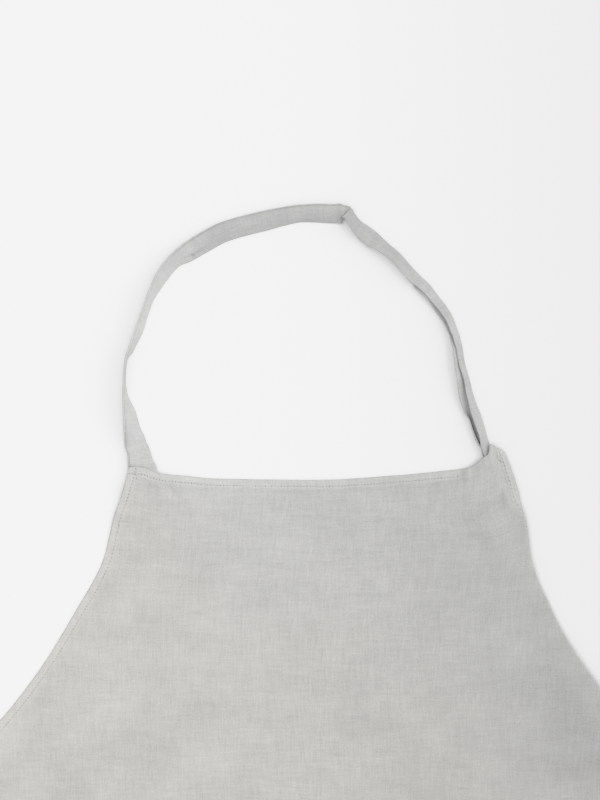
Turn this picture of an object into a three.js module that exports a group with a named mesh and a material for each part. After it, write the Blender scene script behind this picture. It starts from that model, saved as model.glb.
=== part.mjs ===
// Linen bib apron laid flat on a table: one body panel with turned hems, a neck strap sewn under
// both bib corners and a waist tie sewn under each side edge.
// Millimetres, +Z up. +Y runs from the skirt's hem to the neck strap, +X to the right as it lies.

import * as THREE from "three";

// Driving dimensions
const BIB_RISE = 270;         // bib's top edge down to the waist corners
const PANEL_LENGTH = 850;     // bib's top edge down to the bottom edge
const CLOTH_WALL = 1;         // one layer of linen
const HEM_WIDTH = 7;          // narrow hem, turned under twice
const HEM_WALL = 1;           // the turned layers under the panel
const LAYER_GAP = 0.4;        // clear space kept between layers that are sewn together
const BAND_WIDTH = 16.5;      // neck strap and waist ties; the strap's sewn ends are pressed out wider
const BAND_WALL = 1.5;        // the strap is a strip folded on itself, four layers thick
const STRAP_STEP = 9;         // longest distance between two sections of the neck strap
const TIE_STEP = 22;          // the same for a waist tie
const TURN_STEPS = 4;         // facets over the ridge of a band
const EDGE_SHARE = 0.04;      // the ridge keeps this share of the width away from both edges
const HEADING_REACH = 3.5;    // a band's direction is taken over this distance ahead and behind

const HEM_REACH = HEM_WIDTH + 1.5;               // the panel is level over the hem this far from its edge
const HEM_LIFT = HEM_WALL + LAYER_GAP;           // and is held this far off the table there
const BAND_LIFT = BAND_WALL + LAYER_GAP;         // the extra height over a sewn-in strap end

// Half width of the panel, and how far its centre line lies off to one side, at each distance down
// from the top edge.
const OUTLINE = [
  { down: 0, half: 151.2, lean: 2.8 },
  { down: 12, half: 154.8, lean: 3.5 },
  { down: 24, half: 158.2, lean: 3.2 },
  { down: 35, half: 162, lean: 2.5 },
  { down: 50, half: 165.3, lean: 2.2 },
  { down: 65, half: 167.7, lean: 0.7 },
  { down: 80, half: 173.5, lean: -0.7 },
  { down: 95, half: 181.4, lean: -1.7 },
  { down: 125, half: 197.7, lean: -3.1 },
  { down: 155, half: 217.5, lean: -2.9 },
  { down: 190, half: 245.5, lean: -2.6 },
  { down: 230, half: 289, lean: -1 },
  { down: BIB_RISE, half: 350, lean: 0 },
];

// How the bib's top edge lies: moved up the page, lifted off the table and pulled sideways.
// The right corner is lifted and drawn up by the folded strap under it.
const TOP_EDGE = [
  { across: -152, rise: 9, lift: 2, pull: 2 },
  { across: -138, rise: 8.5, lift: 2, pull: 1 },
  { across: -127, rise: 5, lift: 1, pull: 0.5 },
  { across: -118, rise: 3, lift: 0, pull: 0 },
  { across: -80, rise: -0.5, lift: 0, pull: 0 },
  { across: 0, rise: -1.5, lift: 0, pull: 0 },
  { across: 65, rise: 2.3, lift: 0, pull: 0 },
  { across: 104, rise: 6, lift: 0, pull: 0 },
  { across: 113, rise: 7, lift: 0.5, pull: 0.5 },
  { across: 119, rise: 8.5, lift: 2.5, pull: 0.5 },
  { across: 131, rise: 17, lift: 6.5, pull: 0 },
  { across: 136, rise: 19.5, lift: 6.5, pull: -1.5 },
  { across: 141, rise: 27, lift: 6.5, pull: -4.5 },
  { across: 147, rise: 24.6, lift: 5, pull: -6.5 },
  { across: 154, rise: 20.5, lift: 3, pull: -7 },
];
const RISE_FADE = 95;         // distance down the bib over which the rise and pull die out
const LIFT_FADE = 62;         // the same for the lift

// Soft folds of the panel: centre, half length and half width, direction from +X in degrees, height.
const FOLDS = [
  { x: -100, y: -212, run: 110, spread: 40, turn: 55, height: 8 },
  { x: -190, y: -190, run: 80, spread: 40, turn: 50, height: 4 },
  { x: 205, y: -165, run: 80, spread: 34, turn: -58, height: 2 },
  { x: 262, y: -235, run: 90, spread: 40, turn: -52, height: 2 },
  { x: 152, y: -60, run: 70, spread: 34, turn: -76, height: 1.5 },
  { x: 30, y: -330, run: 150, spread: 45, turn: 8, height: 6 },
  { x: -215, y: -560, run: 260, spread: 60, turn: 86, height: 8 },
  { x: 170, y: -590, run: 250, spread: 65, turn: 95, height: 9 },
  { x: 285, y: -480, run: 170, spread: 45, turn: 100, height: 6 },
];

// Rows of a band's table, from plain lists.
function bandTable(lists) {
  return lists.map(([x, y, outer, inner, ridge, soft, width, lift]) => ({
    x, y, outer, inner, ridge, soft, width, lift,
  }));
}

// The outer edge of the neck strap in plan, from the left bib corner over the top to the right one.
// Each section starts with the outer slope and turns to the inner one over a soft ridge: a slope says how
// steeply that part climbs towards the inside of the loop, ridge is the share of the width where it turns,
// and soft is the share that the turn takes. At 180 degrees a part lies folded under the rest.
// The strap stands on edge at the left, lies over at the top, kinks, and runs folded down the right side.
const NECK_STRAP = bandTable([
  [-147, -11, 0, 0, 0.5, 0.6, 22, 0],
  [-147.5, 7.5, 0, 0, 0.5, 0.6, 22, 0],
  [-147.7, 12.5, -6, -4, 0.5, 0.6, 20, 0],
  [-148.2, 18, -10, -6, 0.5, 0.6, 18, 0],
  [-150.2, 24, -10, -6, 0.5, 0.6, 18, 0],
  [-151, 31, -20, -16, 0.5, 0.6, 17, 0],
  [-151.4, 39, -36, -34, 0.5, 0.6, BAND_WIDTH, 0],
  [-151.9, 52, -50, -48, 0.5, 0.6, BAND_WIDTH, 0],
  [-152.2, 64, -74, -72, 0.5, 0.6, BAND_WIDTH, 0],
  [-151.9, 77, -85, -83, 0.5, 0.6, BAND_WIDTH, 0],
  [-150.6, 92, -92, -89, 0.5, 0.6, BAND_WIDTH, 0],
  [-147.6, 102, -74, -70, 0.5, 0.6, BAND_WIDTH, 0],
  [-143.6, 114, -66, -62, 0.5, 0.6, BAND_WIDTH, 0],
  [-134.8, 139, -69, -65, 0.5, 0.6, BAND_WIDTH, 0],
  [-130, 151.6, -60, -54, 0.5, 0.6, BAND_WIDTH, 0],
  [-123.4, 164, -54, -48, 0.5, 0.6, BAND_WIDTH, 0],
  [-116, 173.4, -50, -44, 0.5, 0.6, BAND_WIDTH, 0],
  [-106.6, 181.8, -38, -40, 0.5, 0.6, BAND_WIDTH, 0],
  [-91, 192, -4, -28, 0.5, 0.9, BAND_WIDTH, 0],
  [-75.5, 199.6, 8, -28, 0.5, 0.9, BAND_WIDTH, 0],
  [-44.5, 208.2, 8, -28, 0.5, 0.9, BAND_WIDTH, 0],
  [-29, 211.2, 10, -40, 0.5, 0.9, BAND_WIDTH, 0],
  [-13.3, 213.5, 12, -44, 0.5, 0.9, BAND_WIDTH, 0],
  [2.3, 214.2, 10, -40, 0.5, 0.9, BAND_WIDTH, 0],
  [12, 214, 6, -34, 0.5, 0.9, BAND_WIDTH, 0],
  [20.9, 213.2, 14, -46, 0.5, 0.6, BAND_WIDTH, 1.8],
  [25.6, 212.2, 46, -44, 0.46, 0.5, BAND_WIDTH, 1.8],
  [27.4, 210.2, 110, 14, 0.36, 0.4, BAND_WIDTH, 1],
  [30.4, 205.5, 180, 46, 0.3, 0.26, BAND_WIDTH, 0.3],
  [34, 201.1, 180, 40, 0.28, 0.24, BAND_WIDTH, 0],
  [47.1, 191.6, 180, 28, 0.24, 0.24, BAND_WIDTH, 0],
  [65.1, 175.4, 180, 35, 0.35, 0.24, BAND_WIDTH, 0],
  [76, 163, 180, 36, 0.4, 0.24, BAND_WIDTH, 0],
  [87.8, 151.6, 180, 42, 0.52, 0.24, BAND_WIDTH, 0],
  [101.6, 133.6, 180, 54, 0.5, 0.24, BAND_WIDTH, 0],
  [106, 126, 180, 53, 0.52, 0.24, BAND_WIDTH, 0],
  [111.3, 111.7, 180, 58, 0.44, 0.24, BAND_WIDTH, 0],
  [114.8, 94.5, 180, 50, 0.4, 0.24, BAND_WIDTH, 0],
  [119.5, 76.6, 180, 52, 0.54, 0.24, BAND_WIDTH, 0],
  [125, 57, 180, 44, 0.56, 0.24, 19, 0],
  [130.5, 41.4, 180, 50, 0.58, 0.24, 22, 0],
  [133.3, 31.2, 180, 44, 0.56, 0.24, 20, 0],
  [135.2, 25.8, 180, 32, 0.54, 0.26, 17, 0],
  [136.6, 18, 180, 16, 0.54, 0.28, 13, 0],
  [139, 6.6, 180, 4, 0.54, 0.28, 12, 0],
]);

// The outer edge of the right waist tie, described as the neck strap is. It leaves the side edge flat,
// turns down the page on its edge and lies down again beside the skirt.
const WAIST_TIE = bandTable([
  [338, -270, 0, 0, 0.5, 0.6, BAND_WIDTH, 0],
  [356, -270, 0, 0, 0.5, 0.6, BAND_WIDTH, 0],
  [376, -272, -28, -24, 0.5, 0.6, BAND_WIDTH, 0],
  [395, -280, -62, -58, 0.5, 0.6, BAND_WIDTH, 0],
  [408, -297, -76, -74, 0.5, 0.6, BAND_WIDTH, 0],
  [413, -324, -70, -66, 0.5, 0.6, BAND_WIDTH, 0],
  [413, -360, -42, -38, 0.5, 0.6, BAND_WIDTH, 0],
  [412, -410, -12, -10, 0.5, 0.6, BAND_WIDTH, 0],
  [413, -470, 0, 0, 0.5, 0.6, BAND_WIDTH, 0],
  [416, -600, 0, 0, 0.5, 0.6, BAND_WIDTH, 0],
  [412, -730, 0, 0, 0.5, 0.6, BAND_WIDTH, 0],
  [415, -850, 0, 0, 0.5, 0.6, BAND_WIDTH, 0],
]);

// Places where a strap or tie end is sewn under the panel: the stretch that is held up, and the ramp
// around it.
const SEWN_ENDS = [
  { left: -162, right: -120, bottom: -16, top: 20, ramp: 16 },
  { left: 326, right: 360, bottom: -300, top: -262, ramp: 18 },
  { left: -360, right: -326, bottom: -300, top: -262, ramp: 18 },
];

// Rows of the panel's grid, down from the top edge, and its columns as shares of the half width.
// One more column on each side sits HEM_REACH inside the edge.
const ROWS = [
  0, HEM_REACH, 17, 27, 40, 55, 70, 86, 104, 124, 145, 166, 188, 210, 232, 250, 261, 267,
  BIB_RISE, 272, 283, 296, 306, 322, 350, 390, 430, 475, 520, 565, 610, 655, 700, 745, 790, 825,
  PANEL_LENGTH - HEM_REACH, PANEL_LENGTH,
];
const INNER_SHARES = [0.89, 0.83, 0.74, 0.62, 0.5, 0.375, 0.25, 0.125];
const COLUMN_COUNT = 2 * (INNER_SHARES.length + 2) + 1;

const LINEN = new THREE.MeshStandardMaterial({ color: "#c9c9c5", roughness: 0.92, metalness: 0 });
const LINEN_BAND = new THREE.MeshStandardMaterial({ color: "#c6c6c3", roughness: 0.92, metalness: 0 });

const radians = THREE.MathUtils.degToRad;
const step = (value, from, to) => THREE.MathUtils.smoothstep(value, from, to);

// Reads one column of a table at a place between its rows, on a smooth curve that never overshoots them.
function readTable(rows, key, column, at) {
  const last = rows.length - 1;
  const clamped = THREE.MathUtils.clamp(at, rows[0][key], rows[last][key]);
  const i = Math.max(1, rows.findIndex((row) => row[key] >= clamped));
  const secant = (k) => {
    const j = THREE.MathUtils.clamp(k, 1, last);
    return (rows[j][column] - rows[j - 1][column]) / (rows[j][key] - rows[j - 1][key]);
  };
  const slopeAt = (k) => {
    const before = secant(k);
    const after = secant(k + 1);
    return before * after > 0 ? (2 * before * after) / (before + after) : 0;
  };
  const from = rows[i - 1];
  const to = rows[i];
  const span = to[key] - from[key];
  const t = (clamped - from[key]) / span;
  const rest = 1 - t;
  return (
    from[column] * (1 + 2 * t) * rest * rest +
    to[column] * (3 - 2 * t) * t * t +
    span * (slopeAt(i - 1) * t * rest * rest - slopeAt(i) * t * t * rest)
  );
}

// A closed wall between two grids of points with the same rows and columns, its top facing +Z
// when rows run down the page and columns to the right.
function wallGeometry(top, bottom) {
  const rows = top.length;
  const columns = top[0].length;
  const points = [...top.flat(), ...bottom.flat()];
  const upper = (r, c) => r * columns + c;
  const lower = (r, c) => rows * columns + r * columns + c;
  const faces = [];
  const quad = (a, b, c, d) => faces.push(a, b, c, a, c, d);
  for (let r = 0; r < rows - 1; r++) {
    for (let c = 0; c < columns - 1; c++) {
      quad(upper(r, c), upper(r + 1, c), upper(r + 1, c + 1), upper(r, c + 1));
      quad(lower(r, c), lower(r, c + 1), lower(r + 1, c + 1), lower(r + 1, c));
    }
  }
  for (let r = 0; r < rows - 1; r++) {
    const end = columns - 1;
    quad(upper(r, 0), lower(r, 0), lower(r + 1, 0), upper(r + 1, 0));
    quad(upper(r + 1, end), lower(r + 1, end), lower(r, end), upper(r, end));
  }
  for (let c = 0; c < columns - 1; c++) {
    const end = rows - 1;
    quad(upper(0, c + 1), lower(0, c + 1), lower(0, c), upper(0, c));
    quad(upper(end, c), lower(end, c), lower(end, c + 1), upper(end, c + 1));
  }
  return new THREE.BufferGeometry().setFromPoints(points).setIndex(faces);
}

// Height of one soft fold: a bump that is rounded along and across, and nothing outside its reach.
function foldHeight(fold, x, y) {
  const centre = new THREE.Vector2();
  const along = new THREE.Vector2(x - fold.x, y - fold.y).rotateAround(centre, -radians(fold.turn));
  const reach = Math.hypot(along.x / fold.run, along.y / fold.spread);
  return reach < 1 ? fold.height * Math.cos((reach * Math.PI) / 2) ** 2 : 0;
}

// Extra height over a sewn-in strap end: level in the middle, with a soft ramp all round.
function sewnHeight(end, x, y) {
  const { left, right, bottom, top, ramp } = end;
  const acrossShare = step(x, left - ramp, left) * (1 - step(x, right, right + ramp));
  const alongShare = step(y, bottom - ramp, bottom) * (1 - step(y, top, top + ramp));
  return BAND_LIFT * acrossShare * alongShare;
}

// One point of the panel's underside, at a distance down from the top edge and a share of the half width.
function undersidePoint(down, column) {
  const half = readTable(OUTLINE, "down", "half", down);
  const slope = half - readTable(OUTLINE, "down", "half", down - 1);
  const reachShare = 1 - (HEM_REACH * Math.hypot(1, slope)) / half;
  const shares = [1, reachShare, ...INNER_SHARES];
  const middle = shares.length;
  const share = column < middle ? -shares[column] : column > middle ? shares[COLUMN_COUNT - 1 - column] : 0;

  const flatX = share * half + readTable(OUTLINE, "down", "lean", down);
  const across = (flatX / half) * OUTLINE[0].half;
  const moved = 1 - step(down, 0, RISE_FADE);
  const lifted = 1 - step(down, 0, LIFT_FADE);
  const x = flatX + moved * readTable(TOP_EDGE, "across", "pull", across);
  const y = -down + moved * readTable(TOP_EDGE, "across", "rise", across);

  const overHem = Math.abs(share) >= reachShare || down <= HEM_REACH || down >= PANEL_LENGTH - HEM_REACH;
  let z = lifted * readTable(TOP_EDGE, "across", "lift", across) + (overHem ? HEM_LIFT : 0);
  for (const fold of FOLDS) z += foldHeight(fold, x, y);
  for (const end of SEWN_ENDS) z += sewnHeight(end, flatX, -down);
  return new THREE.Vector3(x, y, z);
}

const raised = (point, height) => point.clone().setZ(point.z + height);
const between = (a, b, share) => a.clone().lerp(b, share);

const underside = ROWS.map((down) =>
  Array.from({ length: COLUMN_COUNT }, (_, column) => undersidePoint(down, column)),
);

function bodyPanel() {
  const top = underside.map((row) => row.map((point) => raised(point, CLOTH_WALL)));
  return wallGeometry(top, underside);
}

// A turned hem: a strip under the panel between its edge points and the points that far inside it.
function hemGeometry(edgePoints, insidePoints, edgeIsLeft) {
  const share = HEM_WIDTH / HEM_REACH;
  const strip = edgePoints.map((edge, i) => {
    const inside = between(edge, insidePoints[i], share);
    return edgeIsLeft ? [edge, inside] : [inside, edge];
  });
  const lowered = (drop) => strip.map((row) => row.map((point) => raised(point, -drop)));
  return wallGeometry(lowered(LAYER_GAP), lowered(LAYER_GAP + HEM_WALL));
}

// Hem along a side, between two rows of the panel's grid.
function sideHem(firstRow, lastRow, edgeIsLeft) {
  const rows = underside.slice(firstRow, lastRow + 1);
  const pick = (column) => rows.map((row) => (edgeIsLeft ? row[column] : row[COLUMN_COUNT - 1 - column]));
  return hemGeometry(pick(0), pick(1), edgeIsLeft);
}

// Hem along the top or bottom edge. The strip runs to the right along the top edge and back along the
// bottom, so that the cloth's edge is always on its left hand.
function crossHem(edgeRow, insideRow, edgeIsTop) {
  const order = (row) => (edgeIsTop ? row : [...row].reverse());
  return hemGeometry(order(underside[edgeRow]), order(underside[insideRow]), false);
}

// A folded band along a table of edge points, with a section at every row and more between distant ones.
// Each section stands with its outermost point on that edge and its lowest point at the table's lift.
function bandGeometry(table, longestStep) {
  let along = 0;
  const rows = table.map((row, i) => {
    if (i) along += Math.hypot(row.x - table[i - 1].x, row.y - table[i - 1].y);
    return { ...row, along };
  });
  const places = rows.flatMap((row, i) => {
    const start = i ? rows[i - 1].along : 0;
    const count = Math.ceil((row.along - start) / longestStep);
    return Array.from({ length: count }, (_, k) => start + ((row.along - start) * (k + 1)) / count);
  });
  const top = [];
  const bottom = [];
  for (const at of [0, ...places]) {
    const read = (column, place = at) => readTable(rows, "along", column, place);
    const heading = new THREE.Vector2(
      read("x", at + HEADING_REACH) - read("x", at - HEADING_REACH),
      read("y", at + HEADING_REACH) - read("y", at - HEADING_REACH),
    ).normalize();
    const inward = new THREE.Vector3(heading.y, -heading.x, 0);
    const section = bandSection(read);
    const lowest = Math.min(...section.map((p) => p.height - (BAND_WALL / 2) * Math.abs(p.up)));
    const outermost = Math.min(...section.map((p) => p.inward));
    const place = (p, side) =>
      new THREE.Vector3(read("x"), read("y"), read("lift") - lowest + p.height)
        .addScaledVector(inward, p.inward - outermost)
        .addScaledVector(inward, (side * p.lean * BAND_WALL) / 2)
        .add(new THREE.Vector3(0, 0, (side * p.up * BAND_WALL) / 2));
    top.push(section.map((p) => place(p, 1)));
    bottom.push(section.map((p) => place(p, -1)));
  }
  return wallGeometry(top.map((row) => row.reverse()), bottom.map((row) => row.reverse()));
}

// The points across a band, with the direction of its upper face at each as a lean and an up share.
// The slope's cosine and sine, summed along the width, say how far in and how high each point is.
function bandSection(read) {
  const ridge = read("ridge");
  const soft = read("soft");
  const from = Math.max(ridge - soft / 2, EDGE_SHARE);
  const to = Math.min(ridge + soft / 2, 1 - EDGE_SHARE);
  const turning = Array.from({ length: TURN_STEPS + 1 }, (_, i) => from + ((to - from) * i) / TURN_STEPS);
  const shares = [0, from / 2, ...turning, (1 + to) / 2, 1];
  const slopeAt = (share) => {
    const turned = step(share, ridge - soft / 2, ridge + soft / 2);
    return radians(THREE.MathUtils.lerp(read("outer"), read("inner"), turned));
  };
  let inward = 0;
  let height = 0;
  return shares.map((share, i) => {
    const slope = slopeAt(share);
    if (i) {
      const run = (share - shares[i - 1]) * read("width");
      const halfway = (slope + slopeAt(shares[i - 1])) / 2;
      inward += run * Math.cos(halfway);
      height += run * Math.sin(halfway);
    }
    return { inward, height, lean: -Math.sin(slope), up: Math.cos(slope) };
  });
}

const apron = new THREE.Group();

function addPiece(name, geometry, material) {
  const mesh = new THREE.Mesh(geometry, material);
  mesh.name = name;
  apron.add(mesh);
  return mesh;
}

const lastRow = ROWS.length - 1;
const waistRow = ROWS.indexOf(BIB_RISE);
addPiece("body_panel", bodyPanel(), LINEN);
addPiece("top_hem", crossHem(0, 1, true), LINEN);
addPiece("bottom_hem", crossHem(lastRow, lastRow - 1, false), LINEN);
for (const side of ["left", "right"]) {
  addPiece(`${side}_armhole_hem`, sideHem(1, waistRow, side === "left"), LINEN);
  addPiece(`${side}_side_hem`, sideHem(waistRow + 1, lastRow - 1, side === "left"), LINEN);
}
addPiece("neck_strap", bandGeometry(NECK_STRAP, STRAP_STEP), LINEN_BAND);
addPiece("right_waist_tie", bandGeometry(WAIST_TIE, TIE_STEP), LINEN_BAND);
addPiece("left_waist_tie", bandGeometry(WAIST_TIE, TIE_STEP), LINEN_BAND).scale.x = -1;

// The origin goes to the middle of the apron's footprint, on the table.
const box = new THREE.Box3().setFromObject(apron);
const middle = box.getCenter(new THREE.Vector3());
apron.position.set(-middle.x, -middle.y, -box.min.z);
const part = new THREE.Group();
part.add(apron);

export default part;
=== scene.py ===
"""Looks of a linen bib apron that lies flat on a pale floor and is seen from straight above.

The tables below are in millimetres in the apron's own drawing frame: x runs to the right from the centre
line, y runs up the page from the bib's top edge, and z is the height above the floor. One function moves
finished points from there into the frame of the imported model, in metres.
"""

import logging
import math
from collections.abc import Callable
from dataclasses import dataclass, field
from enum import Enum
from functools import partial

import bpy
import numpy as np
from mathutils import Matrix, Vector


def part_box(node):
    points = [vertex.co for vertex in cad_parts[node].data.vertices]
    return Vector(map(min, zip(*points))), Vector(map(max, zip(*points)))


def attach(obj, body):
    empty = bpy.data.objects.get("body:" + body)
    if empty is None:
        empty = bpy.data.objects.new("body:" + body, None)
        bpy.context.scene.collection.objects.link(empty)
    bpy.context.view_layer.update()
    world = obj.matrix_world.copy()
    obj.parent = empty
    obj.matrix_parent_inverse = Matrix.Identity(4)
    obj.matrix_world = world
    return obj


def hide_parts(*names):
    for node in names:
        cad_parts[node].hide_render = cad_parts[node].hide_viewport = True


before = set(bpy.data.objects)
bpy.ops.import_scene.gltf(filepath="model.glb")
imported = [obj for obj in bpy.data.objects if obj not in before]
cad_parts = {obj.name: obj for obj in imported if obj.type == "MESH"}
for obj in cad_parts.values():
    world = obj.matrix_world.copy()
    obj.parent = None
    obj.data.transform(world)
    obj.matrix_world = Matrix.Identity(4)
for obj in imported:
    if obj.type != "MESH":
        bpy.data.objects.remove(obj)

Array = np.ndarray
Socket = bpy.types.NodeSocket
Adder = Callable[..., bpy.types.Node]

LOG = logging.getLogger("apron")
MM = 0.001
PANEL_LENGTH = 850.0
FLOOR_GAP = 0.05
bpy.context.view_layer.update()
TOP_EDGE_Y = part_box("body_panel")[0].y + PANEL_LENGTH * MM

# A wave texture of scale s repeats every 2 pi / (20 s).
WAVE_PERIOD = 2 * math.pi / 20


class Edge(Enum):
    """The panel's four edges, each with its own hem and row of stitches."""

    TOP = "top"
    LEFT = "left"
    RIGHT = "right"
    BOTTOM = "bottom"


@dataclass(frozen=True)
class Table:
    """Rows of named columns, read between the rows on a smooth curve that never overshoots them."""

    columns: tuple[str, ...]
    rows: tuple[tuple[float, ...], ...]

    def column(self, name: str) -> Array:
        """Returns one column as an array."""
        return np.array([row[self.columns.index(name)] for row in self.rows], float)

    def read(self, key: str, name: str, at: Array) -> Array:
        """Reads a column at places along another one.

        Args:
            key: the column that the places are measured on, in rising order.
            name: the column to read.
            at: the places, clamped to the table's ends.

        Returns:
            The values, in the shape of at.
        """
        return hermite(self.column(key), self.column(name), at)


@dataclass(frozen=True)
class Seam:
    """A row of needle holes on a UV map: the axis that it runs along, and its place on the other axis.

    The holes are small pits of painted shade. The row keeps between a start and an end of its run. A row drawn
    tight has a groove of painted shade that joins its holes. The painted shade of the holes is of uneven
    depth, from a least share up to full depth. Sizes are in millimetres.
    """

    uv_map: str
    run_axis: str
    place: float
    start: float = -10000.0
    end: float = 10000.0
    groove: float = 0.0
    least: float = 0.25

    def other_axis(self) -> str:
        """The axis across the row."""
        return "Y" if self.run_axis == "X" else "X"


# The flat cloth: distance down from the top edge, half width there, and how far its middle leans right.
OUTLINE = Table(
    ("down", "half", "lean"),
    (
        (0, 151.2, 2.8),
        (12, 155.1, 3.8),
        (24, 158.9, 3.9),
        (35, 162.2, 2.7),
        (50, 165.3, 2.2),
        (65, 167.7, 0.7),
        (80, 173.5, -0.7),
        (95, 181.4, -1.7),
        (125, 197.7, -3.1),
        (155, 217.5, -2.9),
        (190, 245.5, -2.6),
        (230, 289.0, -1.0),
        (270, 350, 0),
    ),
)

# How the bib's top edge lies: at each place across, how far it is moved up the page, sideways and upwards.
TOP_EDGE = Table(
    ("across", "rise", "pull", "lift"),
    (
        (-152, 9.0, 2.0, 2.6),
        (-138, 8.5, 1.0, 2.2),
        (-127, 5.0, 0.5, 1.2),
        (-118, 3.0, 0.0, 0.4),
        (-104, 1.8, 0.0, 0.0),
        (-80, -0.5, 0.0, 0.0),
        (0, -1.5, 0.0, 0.0),
        (65, 2.3, 0.0, 0.0),
        (104, 6.0, 0.0, 0.4),
        (113, 7.0, 0.5, 1.3),
        (119, 8.5, 0.5, 2.3),
        (131, 17.0, 0.0, 4.2),
        (136, 19.5, -2.3, 4.8),
        (141, 27.0, -6.0, 4.7),
        (147, 24.6, -7.6, 3.8),
        (154, 20.5, -8.0, 2.4),
    ),
)

# Columns of the next tables: a middle, half lengths along and across, a turn in degrees from the x axis,
# and a height.
BUMP_COLUMNS = ("x", "y", "run", "spread", "turn", "height")

# Broad folds of the bib and of the skirt.
FOLDS = Table(
    BUMP_COLUMNS,
    (
        (-100, -212, 110, 40, 55, 8.0),
        (-190, -190, 80, 40, 50, 4.0),
        (205, -165, 80, 34, -58, 2.0),
        (262, -235, 90, 40, -52, 2.0),
        (152, -60, 70, 34, -76, 1.5),
        (30, -330, 150, 45, 8, 6.0),
        (-215, -560, 260, 60, 86, 8.0),
        (170, -590, 250, 65, 95, 9.0),
        (285, -480, 170, 45, 100, 6.0),
    ),
)

# Small wrinkles of the bib, the first ones round its sewn corners.
WRINKLES = Table(
    BUMP_COLUMNS,
    (
        (-118, -20, 60, 30, 0, 3.4),
        (-129, -8.4, 14, 3.4, 0, -2.2),
        (-114, -10, 10, 3.8, -42, -1.9),
        (-122, -22, 34, 5, 3, -1.6),
        (117, 2, 11, 3.6, 92, 1.5),
        (-84, -24, 40, 5, 1, 0.8),
        (-34, -36, 40, 6, -2, 0.9),
        (40, -30, 42, 6, 4, 0.8),
        (88, -46, 36, 7, -8, 0.9),
        (-66, -52, 55, 8, 2, 0.9),
        (-20, -64, 60, 9, -3, 0.9),
        (-42, -94, 26, 2.6, 0, 0.6),
        (20, -104, 70, 14, 6, 1.1),
        (136, -58, 50, 18, -70, 1.8),
        (104, -110, 50, 22, -48, 1.5),
        (-150, -92, 46, 16, 58, 1.0),
        (-128, -184, 76, 20, 54, 2.2),
        (60, -188, 80, 24, -10, 1.2),
        (190, -206, 60, 20, -60, 1.8),
        (150, -148, 54, 22, -52, 1.8),
        (-20, -160, 80, 20, 8, 1.0),
        (-44, -236, 70, 24, 22, 1.4),
        (100, -246, 70, 24, -30, 1.4),
    ),
)

# Soft patches of painted light and shade: darker over folds in shade, lighter where the cloth catches more
# light.
# The height is the share that a patch is lighter or darker.
PAINTED_LIGHT_PATCHES = Table(
    BUMP_COLUMNS,
    (
        (139, 20, 17, 15, 0, 0.12),
        (137, -6, 46, 28, 104, 0.10),
        (49, -17, 26, 16, 0, 0.06),
        (-123, -55, 42, 15, 0, -0.05),
        (18, -83, 26, 22, 0, 0.05),
        (112, -130, 26, 18, 0, 0.05),
        (174, -148, 40, 18, 90, -0.03),
        (199, -194, 64, 26, -58, -0.10),
        (-76, -186, 38, 20, 0, -0.06),
        (-138, -205, 32, 20, 0, -0.06),
        (-190, -236, 44, 32, 0, -0.07),
        (-240, -205, 32, 17, 48, 0.10),
    ),
)

# Creases pressed into the strap, which also darken its linen with painted shade. Here x runs along its outer
# edge and y is the distance in from that edge.
STRAP_CREASES = Table(
    BUMP_COLUMNS,
    (
        (209, 11.4, 17, 1.9, 5, -0.45),
        (205.5, 12.5, 2.2, 2.2, 0, -0.8),
    ),
)
NO_CREASES = Table(BUMP_COLUMNS, ())

# Fine random hills all over the cloth: their height, how flat they are squashed down the page, size and seed.
HILLS = Table(("height", "squash", "size", "seed"), ((0.16, 1.6, 26, 5), (0.10, 1.3, 11, 9)))

# A band's points along its outer edge, with the section at each one: the slope of its outer and of its inner
# part in degrees, the share of the width where one turns into the other and how softly, the hook of the outer
# edge in degrees, the width, and the lift off the floor.
BAND_COLUMNS = ("x", "y", "outer", "inner", "ridge", "soft", "hook", "width", "lift")

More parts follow.
